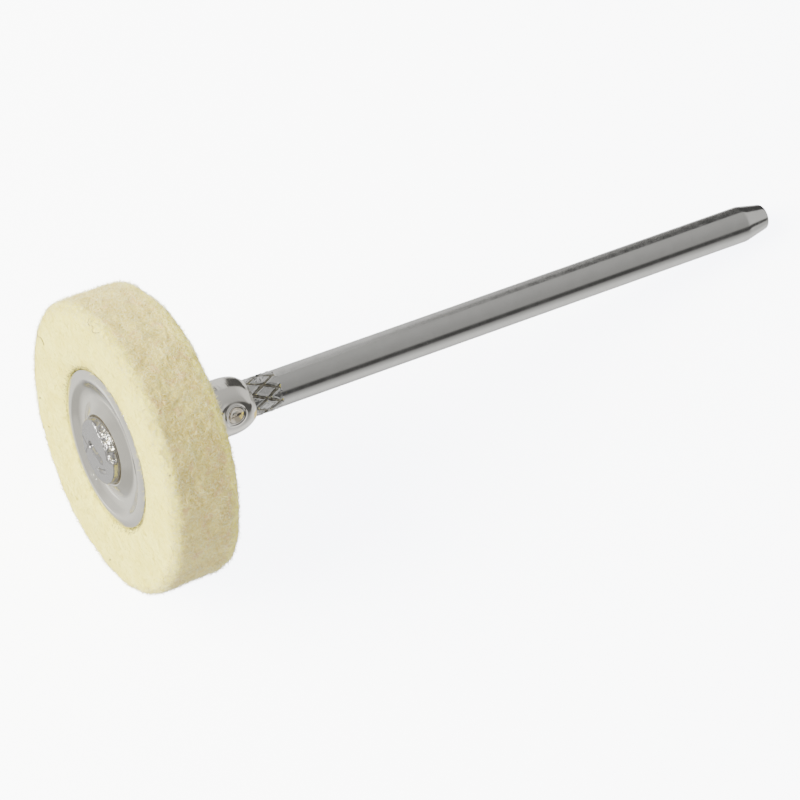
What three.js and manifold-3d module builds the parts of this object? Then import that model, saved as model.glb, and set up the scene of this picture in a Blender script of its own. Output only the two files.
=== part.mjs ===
// Mounted felt polishing wheel: a felt disc between two dished washers on a riveted hub
// sleeve, which is crimped to a straight knurled mandrel. Millimetres, +Z up.
// The spin axis is Y: the working face looks towards -Y and the shank runs towards +Y.
// The origin is the centre of the shank's end face.
// Inside the model, stations along the axis are counted from the front washer's rim
// towards the shank's end.

import * as THREE from 'three';
import { mergeVertices } from 'three/addons/utils/BufferGeometryUtils.js';
import Module from 'manifold-3d';

const wasm = await Module();
wasm.setup();

// mandrel
const SHANK_RADIUS = 2.35 / 2;
const MANDREL_LENGTH = 44.5;
const MANDREL_START = 3.4;
const MANDREL_START_CHAMFER = 0.15;
const SHANK_END = MANDREL_START + MANDREL_LENGTH;
const BEVEL_LENGTH = 1.75;
const BEVEL_END_RADIUS = 0.8;
const KNURL_START = 6;
const KNURL_END = 11.5;
const KNURL_CREST_RADIUS = 1.21;
const KNURL_DEPTH = 0.13;
const KNURL_STARTS = 8;
const KNURL_ANGLE = THREE.MathUtils.degToRad(27.7);
const KNURL_FIRST_ANGLE = THREE.MathUtils.degToRad(60);
const KNURL_PITCH = (2 * Math.PI * SHANK_RADIUS) / KNURL_STARTS / Math.tan(KNURL_ANGLE);
const KNURL_ROWS_PER_PITCH = 8;

// felt wheel
const FELT_RADIUS = 9.2;
const FELT_FRONT = -0.27;
const FELT_BACK = 4.2;
const FELT_MIDDLE = (FELT_FRONT + FELT_BACK) / 2;
const FELT_EDGE_ROUND = 0.7;
const FELT_ROLL_WIDTH = 1.1;
const FELT_BORE_RADIUS = 1.93;

// dished washers, one pressed into each face of the felt
const WASHER_RADIUS = 4.96;
const WASHER_THICKNESS = 0.26;
const WASHER_CREST_RADIUS = 4.28;
const WASHER_CREST_RISE = 0.1;
const WASHER_DISH_RADIUS = 3.2;
const WASHER_DISH_DEPTH = 0.3;
const WASHER_LIP_RADIUS = 2.27;
const WASHER_LIP_RISE = 0.125;
const WASHER_LIP_EDGE = 0.05;
const WASHER_SEAT_RADIUS = 2.15;
const WASHER_SEAT_DEPTH = 0.33;
const WASHER_HOLE_RADIUS = 1.9;
const WASHER_CURVE_STEPS = 7;
const REAR_WASHER_RIM = 2 * FELT_MIDDLE;

// hub sleeve: a riveted head in front, a body through the felt, and a neck behind
const HEAD_RADIUS = 2.09;
const HEAD_FACE = -0.52;
const HEAD_PLATEAU_RADIUS = 1.97;
const HEAD_CHAMFER = 0.12;
const BODY_RADIUS = 1.86;
const SHOULDER_END = 4.4;
const NECK_RADIUS = 1.8;
const NECK_TAPER_START = 6.6;
const NOSE_START = 8;
const NOSE_REACH = 2.1;
const NOSE_DROP = 1.15;
const HUB_END = 9.72;
const HUB_BORE_RADIUS = 1.24;
const DIMPLE_COUNT = 2;
const DIMPLE_STATION = 8.05;
const DIMPLE_RADIUS = 0.7;
const DIMPLE_DEPTH = 0.42;
const DIMPLE_FIRST_ANGLE = THREE.MathUtils.degToRad(30.8);
const PUNCH_MARK_LENGTH = 1.7;
const PUNCH_MARK_WIDTH = 0.42;
const PUNCH_MARK_DEPTH = 0.16;
const PUNCH_MARK_ANGLE = THREE.MathUtils.degToRad(-4.4);
const PUNCH_MARK_CENTRE_X = -0.17;
const PUNCH_MARK_CENTRE_Z = -0.32;

const CLEARANCE = 0.03;
const ROUND_SEGMENTS = 48;

function finish(color, roughness, metalness) {
  return new THREE.MeshStandardMaterial({ color, roughness, metalness });
}

function piece(name, geometry, material) {
  const mesh = new THREE.Mesh(geometry, material);
  mesh.name = name;
  return mesh;
}

// Points of a curve as [radius, station] corners.
function corners(curve, steps) {
  return curve.getPoints(steps).map((point) => [point.x, point.y]);
}

// A solid of revolution about the spin axis, its corners listed from front to back.
function turned(outline) {
  const profile = outline.map(([radius, station]) => new THREE.Vector2(radius, station));
  return new THREE.LatheGeometry(profile, ROUND_SEGMENTS);
}

// A turned ring: its corners run in along the front and out along the back, and close.
function turnedRing(outline) {
  return turned([...outline, outline[0]].reverse());
}

function toSolid(geometry) {
  const bare = geometry.clone();
  bare.deleteAttribute('normal');
  bare.deleteAttribute('uv');
  const merged = mergeVertices(bare, 1e-4);
  const mesh = new wasm.Mesh({
    numProp: 3,
    vertProperties: new Float32Array(merged.attributes.position.array),
    triVerts: new Uint32Array(merged.index.array),
  });
  return new wasm.Manifold(mesh);
}

function toGeometry(solid) {
  const mesh = solid.getMesh();
  const geometry = new THREE.BufferGeometry();
  geometry.setAttribute('position', new THREE.BufferAttribute(mesh.vertProperties, 3));
  geometry.setIndex(new THREE.BufferAttribute(mesh.triVerts, 1));
  geometry.computeVertexNormals();
  return geometry;
}

// The visible face of a washer: rim, low crest, annular dish, and the lip round the seat.
function washerFace() {
  const outerFlank = (WASHER_CREST_RADIUS + WASHER_DISH_RADIUS) / 2;
  const innerFlank = (WASHER_DISH_RADIUS + WASHER_LIP_RADIUS) / 2;
  const points = [
    new THREE.Vector2(WASHER_RADIUS, 0),
    new THREE.Vector2(WASHER_CREST_RADIUS, -WASHER_CREST_RISE),
    new THREE.Vector2(outerFlank, WASHER_DISH_DEPTH * 0.6),
    new THREE.Vector2(WASHER_DISH_RADIUS, WASHER_DISH_DEPTH),
    new THREE.Vector2(innerFlank, WASHER_DISH_DEPTH * 0.45),
    new THREE.Vector2(WASHER_LIP_RADIUS, -WASHER_LIP_RISE),
  ];
  return corners(new THREE.SplineCurve(points), WASHER_CURVE_STEPS);
}

// The covered face, one sheet thickness behind the visible one, and further by any gap.
function washerBack(gap) {
  const offset = WASHER_THICKNESS + gap;
  const curved = washerFace().slice(0, -1);
  return [
    ...curved.map(([radius, station]) => [radius, station + offset]),
    [WASHER_LIP_RADIUS + offset, WASHER_SEAT_DEPTH + offset],
  ];
}

function washerGeometry() {
  return turnedRing([
    ...washerFace(),
    [WASHER_SEAT_RADIUS, -WASHER_LIP_RISE + WASHER_LIP_EDGE],
    [WASHER_SEAT_RADIUS, WASHER_SEAT_DEPTH],
    [WASHER_HOLE_RADIUS, WASHER_SEAT_DEPTH],
    [WASHER_HOLE_RADIUS, WASHER_SEAT_DEPTH + WASHER_THICKNESS],
    ...washerBack(0).reverse(),
  ]);
}

// One face of the felt: its rounded edge, its flat, and the hollow under the washer.
function feltFace() {
  const edge = new THREE.EllipseCurve(
    FELT_RADIUS - FELT_EDGE_ROUND,
    FELT_FRONT + FELT_EDGE_ROUND,
    FELT_EDGE_ROUND,
    FELT_EDGE_ROUND,
    0,
    -Math.PI / 2,
    true,
  );
  const hollow = washerBack(CLEARANCE).slice(1);
  return [
    ...corners(edge, 5),
    [WASHER_RADIUS + FELT_ROLL_WIDTH, FELT_FRONT],
    [WASHER_RADIUS + CLEARANCE, -CLEARANCE],
    [WASHER_RADIUS + CLEARANCE, WASHER_THICKNESS + CLEARANCE],
    ...hollow,
    [FELT_BORE_RADIUS, WASHER_SEAT_DEPTH + WASHER_THICKNESS + CLEARANCE],
  ];
}

function feltGeometry() {
  const front = feltFace();
  const back = front.map(([radius, station]) => [radius, 2 * FELT_MIDDLE - station]);
  return turnedRing([...front, ...back.reverse()]);
}

// The outside of the neck: a taper behind the shoulder, then a nose closed on the shank.
function neckOutline() {
  const taper = new THREE.QuadraticBezierCurve(
    new THREE.Vector2(HEAD_RADIUS, SHOULDER_END),
    new THREE.Vector2(NECK_RADIUS, NECK_TAPER_START),
    new THREE.Vector2(NECK_RADIUS, NOSE_START),
  );
  const nose = new THREE.EllipseCurve(
    NECK_RADIUS - NOSE_DROP,
    NOSE_START,
    NOSE_DROP,
    NOSE_REACH,
    0,
    Math.asin((HUB_END - NOSE_START) / NOSE_REACH),
  );
  return [...corners(taper, 6), ...corners(nose, 6).slice(1)];
}

function hubBlank() {
  const headBack = WASHER_SEAT_DEPTH - CLEARANCE;
  const shoulderStart = REAR_WASHER_RIM - headBack;
  const boreFloor = MANDREL_START - CLEARANCE;
  return turned([
    [0, HEAD_FACE],
    [HEAD_PLATEAU_RADIUS, HEAD_FACE],
    [HEAD_RADIUS, HEAD_FACE + HEAD_CHAMFER],
    [HEAD_RADIUS, headBack],
    [BODY_RADIUS, headBack],
    [BODY_RADIUS, shoulderStart],
    [HEAD_RADIUS, shoulderStart],
    ...neckOutline(),
    [HUB_BORE_RADIUS, HUB_END],
    [HUB_BORE_RADIUS, boreFloor],
    [0, boreFloor],
  ]);
}

// A punched crimp: a ball's hollow in the side of the neck.
function dimpleTool(angle) {
  const ballRadius = (DIMPLE_RADIUS ** 2 + DIMPLE_DEPTH ** 2) / (2 * DIMPLE_DEPTH);
  const reach = NECK_RADIUS - DIMPLE_DEPTH + ballRadius;
  const ball = new THREE.SphereGeometry(ballRadius, 24, 16);
  ball.translate(Math.cos(angle) * reach, DIMPLE_STATION, Math.sin(angle) * reach);
  return ball;
}

// The short groove that the riveting punch leaves across the head.
function punchTool() {
  const straight = PUNCH_MARK_LENGTH - PUNCH_MARK_WIDTH;
  const groove = new THREE.CapsuleGeometry(PUNCH_MARK_WIDTH / 2, straight, 4, 12);
  groove.rotateZ(Math.PI / 2);
  groove.rotateY(PUNCH_MARK_ANGLE);
  const station = HEAD_FACE + PUNCH_MARK_DEPTH - PUNCH_MARK_WIDTH / 2;
  groove.translate(PUNCH_MARK_CENTRE_X, station, PUNCH_MARK_CENTRE_Z);
  return groove;
}

function hubGeometry() {
  let hub = toSolid(hubBlank());
  for (let index = 0; index < DIMPLE_COUNT; index += 1) {
    const angle = DIMPLE_FIRST_ANGLE + (index * 2 * Math.PI) / DIMPLE_COUNT;
    hub = hub.subtract(toSolid(dimpleTool(angle)));
  }
  return toGeometry(hub.subtract(toSolid(punchTool())));
}

// Height of the crossed knurl, 0 in a groove to 1 on a crest.
function knurlHeight(angle, station) {
  const around = (KNURL_STARTS * (angle - KNURL_FIRST_ANGLE)) / (2 * Math.PI);
  const along = (station - KNURL_START) / KNURL_PITCH;
  const wave = (phase) => 1 - Math.abs(2 * (phase - Math.floor(phase)) - 1);
  return Math.min(wave(around + along), wave(around - along));
}

function knurlStations() {
  const spacing = KNURL_PITCH / KNURL_ROWS_PER_PITCH;
  const count = Math.floor((KNURL_END - KNURL_START) / spacing) + 1;
  return Array.from({ length: count }, (_, row) => KNURL_START + row * spacing);
}

// Moves the shank's surface in or out to the knurl, between the knurl's two end rings.
function cutKnurl(geometry, first, last) {
  const position = geometry.attributes.position;
  const margin = KNURL_PITCH / KNURL_ROWS_PER_PITCH / 2;
  for (let index = 0; index < position.count; index += 1) {
    const x = position.getX(index);
    const station = position.getY(index);
    const z = position.getZ(index);
    if (station > first + margin && station < last - margin) {
      const height = knurlHeight(Math.atan2(z, x), station);
      const radius = KNURL_CREST_RADIUS - KNURL_DEPTH * (1 - height);
      position.setX(index, (x / SHANK_RADIUS) * radius);
      position.setZ(index, (z / SHANK_RADIUS) * radius);
    }
  }
}

function mandrelGeometry() {
  const rings = knurlStations();
  const geometry = turned([
    [0, MANDREL_START],
    [SHANK_RADIUS - MANDREL_START_CHAMFER, MANDREL_START],
    [SHANK_RADIUS, MANDREL_START + MANDREL_START_CHAMFER],
    ...rings.map((station) => [SHANK_RADIUS, station]),
    [SHANK_RADIUS, SHANK_END - BEVEL_LENGTH],
    [BEVEL_END_RADIUS, SHANK_END],
    [0, SHANK_END],
  ]);
  cutKnurl(geometry, rings[0], rings[rings.length - 1]);
  return geometry;
}

const feltFinish = finish(0xe9e2bd, 0.95, 0);
const nickelFinish = finish(0xc9c6c2, 0.22, 1);
const steelFinish = finish(0x9a9892, 0.32, 1);

const feltWheel = piece('felt_wheel', feltGeometry(), feltFinish);
const frontWasher = piece('front_washer', washerGeometry(), nickelFinish);
const rearWasher = piece('rear_washer', washerGeometry(), nickelFinish.clone());
rearWasher.rotation.z = Math.PI;
rearWasher.position.y = REAR_WASHER_RIM;
const hubSleeve = piece('hub_sleeve', hubGeometry(), nickelFinish.clone());
const mandrel = piece('mandrel', mandrelGeometry(), steelFinish);

const assembly = new THREE.Group();
assembly.position.y = -SHANK_END;
assembly.add(feltWheel, frontWasher, rearWasher, hubSleeve, mandrel);

const polishingWheel = new THREE.Group();
polishingWheel.add(assembly);

export default polishingWheel;
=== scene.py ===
"""Looks of the mounted felt polishing wheel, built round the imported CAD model.

Lengths are in millimetres, and in metres where a name ends in _M. Stations are counted along the
spin axis (+Y) from the front washer's rim towards the end of the shank, as in the CAD source.
"""
import math

import bpy
import numpy as np
from mathutils import Matrix, Vector, noise


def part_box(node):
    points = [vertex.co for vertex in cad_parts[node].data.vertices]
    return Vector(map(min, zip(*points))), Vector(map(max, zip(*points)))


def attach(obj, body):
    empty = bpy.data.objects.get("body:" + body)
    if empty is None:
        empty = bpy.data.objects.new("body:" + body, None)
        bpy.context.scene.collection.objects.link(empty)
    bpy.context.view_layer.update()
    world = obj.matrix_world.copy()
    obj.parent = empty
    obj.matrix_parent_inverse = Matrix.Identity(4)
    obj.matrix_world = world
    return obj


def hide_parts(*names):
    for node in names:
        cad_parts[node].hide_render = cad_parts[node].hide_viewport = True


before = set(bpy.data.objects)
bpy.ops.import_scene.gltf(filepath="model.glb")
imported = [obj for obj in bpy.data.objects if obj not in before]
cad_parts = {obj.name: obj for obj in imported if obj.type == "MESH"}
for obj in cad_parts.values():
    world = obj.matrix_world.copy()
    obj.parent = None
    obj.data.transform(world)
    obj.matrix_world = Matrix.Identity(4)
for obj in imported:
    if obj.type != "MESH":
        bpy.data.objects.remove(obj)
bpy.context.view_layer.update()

MM = 0.001
SEED = 11

# directions in the (x, z) plane: towards the eye, and square to that
NEAR = (0.525, 0.851)
DOWN = (0.851, -0.525)

# ---------------------------------------------------------------- dimensions

SHANK_RADIUS = 2.35 / 2
KNURL_STARTS = 8
KNURL_ANGLE = math.radians(27.7)
KNURL_NODE_ANGLE = math.radians(61.25)
KNURL_NODE = 11.38
KNURL_END = 11.52
KNURL_GROOVE = 0.12
KNURL_DEPTH = 0.085
MANDREL_SEGMENTS = 448
MANDREL_FINE_STEP = 0.024
BEVEL_LENGTH = 1.75
BEVEL_END_RADIUS = 0.8

FELT_RADIUS = 9.2
FELT_FRONT = -0.27
FELT_BACK = 4.2
FELT_MIDDLE = (FELT_FRONT + FELT_BACK) / 2
FELT_EDGE = 0.6
FELT_BACK_EDGE = 0.4
FELT_ROLL = 1.1
FELT_SEGMENTS = 520
FELT_STEP = 0.12

# a fibre has 12 triangles, and the export cuts a piece down past 200,000
FIBRES_PER_PIECE = 15000
# dark fibres at the washer's edge, put there as painted shade for the crevice
SHADE_FIBRE_COUNT = 1100
SHADE_FIBRE_INNER = 5.04
SHADE_FIBRE_OUTER = 5.24
HAIR_RADIUS = 0.022
SPECK_RADIUS = 0.05
HAIR_SIDES = 6

WASHER_RADIUS = 4.96
WASHER_THICKNESS = 0.26
WASHER_CREST_RADIUS = 4.28
WASHER_CREST_RISE = 0.1
WASHER_DISH_RADIUS = 3.2
WASHER_DISH_DEPTH = 0.3
WASHER_LIP_RADIUS = 2.27
WASHER_LIP_RISE = 0.125
WASHER_SEAT_RADIUS = 2.15
WASHER_SEAT_DEPTH = 0.33
WASHER_HOLE_RADIUS = 1.9
WASHER_SEGMENTS = 256
# the side of the dish where a dark reflection is painted, as a direction in the (x, z) plane
DARK_REFLECTION_SIDE = (-0.24, 0.97)

HEAD_RADIUS = 2.09
HEAD_FACE = -0.52
HEAD_PLATEAU = 2.03
HEAD_EDGE = 0.06
BODY_RADIUS = 1.86
NECK_RADIUS = 1.8
SHOULDER_END = 4.4
NOSE_START = 8.0
NOSE_REACH = 2.1
NOSE_DROP = 1.15
HUB_END = 9.72
HUB_BORE = 1.24
DIMPLE_STATION = 8.05
DIMPLE_RADIUS = 0.66
DIMPLE_DEPTH = 0.4
DIMPLE_ANGLE = math.radians(30.8)
DIMPLE_FLOOR_RADIUS = 1.5
HUB_SEGMENTS = 360
HUB_HEAD_STEP = 0.028
HUB_NECK_STEP = 0.035
# the worn shoulder's edge, as (down, near) points on the head's face
HEAD_WEAR_EDGE = [
    (-1.9, 0.72), (-1.7, 0.82), (-1.15, 0.94), (-0.43, 1.11),
    (0.1, 1.15), (0.65, 0.95), (0.95, 1.3), (1.1, 2.4),
]

# the front washer's lip is the washer's lowest point along Y
RIM_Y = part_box("front_washer")[0][1] / MM + WASHER_LIP_RISE
SHANK_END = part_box("mandrel")[1][1] / MM - RIM_Y

# ---------------------------------------------------------------- outlines


def arc(centre, radii, start, end, steps):
    """Points of an ellipse's arc in the (radius, station) plane, angles in degrees."""
    angles = np.radians(np.linspace(start, end, steps))
    return [(centre[0] + radii[0] * math.cos(a), centre[1] + radii[1] * math.sin(a)) for a in angles]


def bezier(start, control, end, steps):
    """Points of a quadratic curve."""
    points = []
    for t in np.linspace(0, 1, steps):
        blend = ((1 - t) ** 2, 2 * t * (1 - t), t * t)
        points.append(tuple(sum(w * p[i] for w, p in zip(blend, (start, control, end))) for i in (0, 1)))
    return points


def eased(outline, radius, steps=5, limit=12):
    """The outline with each corner sharper than limit degrees rounded off."""
    result = [outline[0]]
    for before, corner, after in zip(outline, outline[1:], outline[2:]):
        a = Vector(before) - Vector(corner)
        b = Vector(after) - Vector(corner)
        turn = 180 - math.degrees(a.angle(b)) if a.length and b.length else 0
        if turn < limit:
            result.append(corner)
            continue
        reach = min(radius, 0.45 * a.length, 0.45 * b.length)
        start = Vector(corner) + a.normalized() * reach
        end = Vector(corner) + b.normalized() * reach
        result.extend(bezier(tuple(start), corner, tuple(end), steps))
    result.append(outline[-1])
    return result


def dense(outline, step):
    """The outline with points added so that no stretch is longer than step."""
    result = [outline[0]]
    for start, end in zip(outline, outline[1:]):
        count = max(1, math.ceil(math.dist(start, end) / step))
        for k in range(1, count + 1):
            t = k / count
            result.append((start[0] + (end[0] - start[0]) * t, start[1] + (end[1] - start[1]) * t))
    return result


def smooth_through(points, per_span):
    """A Catmull-Rom curve through (radius, station) points."""
    padded = [points[0], *points, points[-1]]
    result = []
    for k in range(len(points) - 1):
        p0, p1, p2, p3 = (np.array(p) for p in padded[k:k + 4])
        for t in np.linspace(0, 1, per_span, endpoint=False):
            value = 0.5 * (
                2 * p1 + (p2 - p0) * t + (2 * p0 - 5 * p1 + 4 * p2 - p3) * t ** 2
                + (3 * p1 - p0 - 3 * p2 + p3) * t ** 3
            )
            result.append(tuple(value))
    result.append(points[-1])
    return result


def smoothstep(low, high, x):
    t = np.clip((x - low) / (high - low), 0, 1)
    return t * t * (3 - 2 * t)


def noise_field(points, scale, offset=0.0):
    """Smooth noise from -1 to 1 at rows of x, y, z points, with features about scale wide."""
    shift = Vector((offset, SEED + offset, -offset))
    return np.array([noise.noise(Vector(p) / scale + shift) for p in points])


# ---------------------------------------------------------------- meshes


def make_object(name, vertices, faces, material, node=None):
    """A smooth-shaded piece of the object from vertices in millimetres."""
    mesh = bpy.data.meshes.new(name)
    mesh.from_pydata((np.asarray(vertices) * MM).tolist(), [], faces)
    mesh.update()
    mesh.shade_smooth()
    mesh.materials.append(material)
    piece = bpy.data.objects.new(name, mesh)
    bpy.context.scene.collection.objects.link(piece)
    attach(piece, "root")
    if node:
        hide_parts(node)
    return piece


def revolved(outline, segments, closed=False, shape=None):
    """Vertices and faces of a body turned about the spin axis.

    The outline is (radius, station), listed so that the material lies to its left when it is
    closed, and from the front to the back when it starts and ends on the axis. shape changes
    the arrays radius, station and angle before they become points.
    """
    points = np.array(outline, float)
    if closed:
        points = points[:-1] if np.allclose(points[0], points[-1]) else points
    on_axis = points[:, 0] < 1e-9
    rows = points[~on_axis]
    angle = np.linspace(0, 2 * math.pi, segments, endpoint=False)
    radius = np.repeat(rows[:, :1], segments, axis=1)
    station = np.repeat(rows[:, 1:], segments, axis=1)
    theta = np.repeat(angle[None, :], len(rows), axis=0)
    if shape:
        radius, station = shape(radius, station, theta)
    vertices = np.stack(
        [radius * np.cos(theta), station + RIM_Y, radius * np.sin(theta)], axis=-1
    ).reshape(-1, 3)
    faces = []
    count = len(rows)
    for row in range(count if closed else count - 1):
        here = row * segments
        there = ((row + 1) % count) * segments
        for k in range(segments):
            following = (k + 1) % segments
            faces.append((here + k, there + k, there + following, here + following))
    if not closed:
        front = len(vertices)
        vertices = np.vstack([vertices, [0, points[0, 1] + RIM_Y, 0], [0, points[-1, 1] + RIM_Y, 0]])
        last = (count - 1) * segments
        for k in range(segments):
            following = (k + 1) % segments
            faces.append((front, k, following))
            faces.append((front + 1, last + following, last + k))
    return vertices, faces


# ---------------------------------------------------------------- materials


class Nodes:
    """Short names for building one material's nodes. Positions are in millimetres."""

    def __init__(self, name):
        self.material = bpy.data.materials.new(name)
        self.material.use_nodes = True
        self.tree = self.material.node_tree
        self.shader = self.tree.nodes["Principled BSDF"]
        place = self.tree.nodes.new("ShaderNodeTexCoord")
        scale = self.tree.nodes.new("ShaderNodeVectorMath")
        scale.operation = "SCALE"
        scale.inputs["Scale"].default_value = 1 / MM
        self.link(place.outputs["Object"], scale.inputs[0])
        shift = self.tree.nodes.new("ShaderNodeVectorMath")
        shift.operation = "SUBTRACT"
        shift.inputs[1].default_value = (0, RIM_Y, 0)
        self.link(scale.outputs[0], shift.inputs[0])
        self.place = shift.outputs[0]

    def link(self, source, target):
        self.tree.links.new(source, target)

    def set(self, **values):
        for name, value in values.items():
            self.shader.inputs[name.replace("_", " ")].default_value = value

    def feed(self, socket, value):
        if hasattr(value, "links"):
            self.link(value, socket)
        else:
            socket.default_value = value

    def math(self, operation, a, b=0.0, clamp=False):
        node = self.tree.nodes.new("ShaderNodeMath")
        node.operation = operation
        node.use_clamp = clamp
        self.feed(node.inputs[0], a)
        self.feed(node.inputs[1], b)
        return node.outputs[0]

    def stretched(self, factors):
        node = self.tree.nodes.new("ShaderNodeVectorMath")
        node.operation = "MULTIPLY"
        node.inputs[1].default_value = factors
        self.link(self.place, node.inputs[0])
        return node.outputs[0]

    def noise(self, size, detail=3.0, rough=0.55, place=None, distortion=0.0):
        """Noise from 0 to 1 whose features are about size wide."""
        node = self.tree.nodes.new("ShaderNodeTexNoise")
        node.inputs["Scale"].default_value = 1 / size
        node.inputs["Detail"].default_value = detail
        node.inputs["Roughness"].default_value = rough
        node.inputs["Distortion"].default_value = distortion
        self.link(place or self.place, node.inputs["Vector"])
        return node.outputs["Fac"]

    def cells(self, size):
        """Distance from the nearest of points strewn about size apart."""
        node = self.tree.nodes.new("ShaderNodeTexVoronoi")
        node.inputs["Scale"].default_value = 1 / size
        self.link(self.place, node.inputs["Vector"])
        return node.outputs["Distance"]

    def ramp(self, value, low, high, to_low=0.0, to_high=1.0, smooth=True):
        node = self.tree.nodes.new("ShaderNodeMapRange")
        node.interpolation_type = "SMOOTHSTEP" if smooth else "LINEAR"
        self.feed(node.inputs["Value"], value)
        node.inputs["From Min"].default_value = low
        node.inputs["From Max"].default_value = high
        node.inputs["To Min"].default_value = to_low
        node.inputs["To Max"].default_value = to_high
        return node.outputs["Result"]

    def mix(self, factor, a, b):
        node = self.tree.nodes.new("ShaderNodeMix")
        node.data_type = "RGBA"
        self.feed(node.inputs["Factor"], factor)
        for socket, value in ((node.inputs[6], a), (node.inputs[7], b)):
            self.feed(socket, value if hasattr(value, "links") else (*value, 1.0))
        return node.outputs[2]

    def axes(self):
        """x, station and z of the shaded point, and its distance from the spin axis."""
        split = self.tree.nodes.new("ShaderNodeSeparateXYZ")
        self.link(self.place, split.inputs[0])
        x, station, z = split.outputs
        squares = self.math("ADD", self.math("MULTIPLY", x, x), self.math("MULTIPLY", z, z))
        return x, station, z, self.math("SQRT", squares)

    def near(self, x, z):
        """How far the shaded point lies towards the eye, across the spin axis."""
        return self.math("ADD", self.math("MULTIPLY", x, NEAR[0]), self.math("MULTIPLY", z, NEAR[1]))

    def bump(self, height, distance, below=None):
        node = self.tree.nodes.new("ShaderNodeBump")
        node.inputs["Distance"].default_value = distance * MM
        self.link(height, node.inputs["Height"])
        if below:
            self.link(below, node.inputs["Normal"])
        return node.outputs["Normal"]


def felt_material():
    """Cream wool: even faces, a browner blotched rim, and painted shade in the crevice along the
    washer's edge.
    """
    n = Nodes("wool_felt")
    x, station, z, radius = n.axes()
    ragged = n.math("MULTIPLY", n.math("SUBTRACT", n.noise(0.5, 2.0), 0.5), 0.7)
    from_front = n.math("ADD", n.math("SUBTRACT", station, FELT_FRONT), ragged)
    from_back = n.math("ADD", n.math("SUBTRACT", FELT_BACK, station), ragged)
    depth = n.math("MINIMUM", from_front, from_back)
    outer = n.ramp(radius, FELT_RADIUS - 0.45, FELT_RADIUS - 0.2)
    on_rim = n.math("MULTIPLY", outer, n.ramp(depth, 0.35, 0.8))

    face_cloud = n.ramp(n.noise(1.3, 4.0, 0.6, distortion=0.4), 0.3, 0.7)
    face = n.mix(face_cloud, (0.84, 0.765, 0.19), (0.94, 0.895, 0.28))
    face = n.mix(n.ramp(n.noise(0.3, 3.0, 0.6), 0.55, 0.75, 0.0, 0.7), face, (0.80, 0.68, 0.21))
    rim_cloud = n.noise(1.1, 4.0, 0.6, distortion=0.3)
    rim = n.mix(n.ramp(rim_cloud, 0.3, 0.7), (0.70, 0.57, 0.20), (0.88, 0.78, 0.29))
    rim = n.mix(n.ramp(n.noise(0.9, 3.0, distortion=0.6), 0.53, 0.68), rim, (0.78, 0.58, 0.27))
    rim = n.mix(n.ramp(n.noise(0.22, 3.0), 0.55, 0.72), rim, (0.92, 0.86, 0.46))
    colour = n.mix(on_rim, face, rim)
    # painted shade: the felt darkens where it meets the washer's edge, over a wider band on the side
    # towards the eye
    frayed = n.math("MULTIPLY", n.math("SUBTRACT", n.noise(0.16, 2.0), 0.5), 0.5)
    from_washer = n.math("ADD", n.math("SUBTRACT", radius, WASHER_RADIUS), frayed)
    reach = n.ramp(n.near(x, z), -3.0, 2.0, 0.08, 0.24)
    crevice_shade = n.math("MULTIPLY", n.math("SUBTRACT", reach, from_washer), 12.0, clamp=True)
    colour = n.mix(n.math("MULTIPLY", crevice_shade, 0.85), colour, (0.12, 0.09, 0.05))
    n.link(colour, n.shader.inputs["Base Color"])

    clumps = n.math("MULTIPLY", n.noise(0.3, 4.0, 0.65), n.ramp(on_rim, 0, 1, 0.6, 1.0))
    strands = n.noise(0.12, 3.0, 0.7, n.stretched((1.0, 0.35, 1.0)), 1.2)
    soft = n.bump(clumps, 0.16)
    n.link(n.bump(strands, 0.045, below=soft), n.shader.inputs["Normal"])
    n.set(Roughness=0.95, Specular_IOR_Level=0.15, Sheen_Weight=0.2, Sheen_Roughness=0.4)
    n.shader.inputs["Sheen Tint"].default_value = (1.0, 0.96, 0.75, 1.0)
    return n.material


def fibre_material(name, deep, pale):
    """Loose wool, with a silky shine, between two shades."""
    n = Nodes(name)
    colour = n.mix(n.ramp(n.noise(0.7, 2.0), 0.3, 0.7), deep, pale)
    n.link(colour, n.shader.inputs["Base Color"])
    n.link(n.ramp(n.noise(0.2), 0.3, 0.7, 0.35, 0.6), n.shader.inputs["Roughness"])
    n.set(Specular_IOR_Level=0.5)
    return n.material


def dark_fibre_material():
    n = Nodes("dark_stray_fibre")
    colour = n.mix(n.noise(0.3, 2.0), (0.10, 0.08, 0.05), (0.30, 0.25, 0.18))
    n.link(colour, n.shader.inputs["Base Color"])
    n.link(n.ramp(n.noise(0.1), 0.3, 0.7, 0.5, 0.8), n.shader.inputs["Roughness"])
    return n.material


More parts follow.
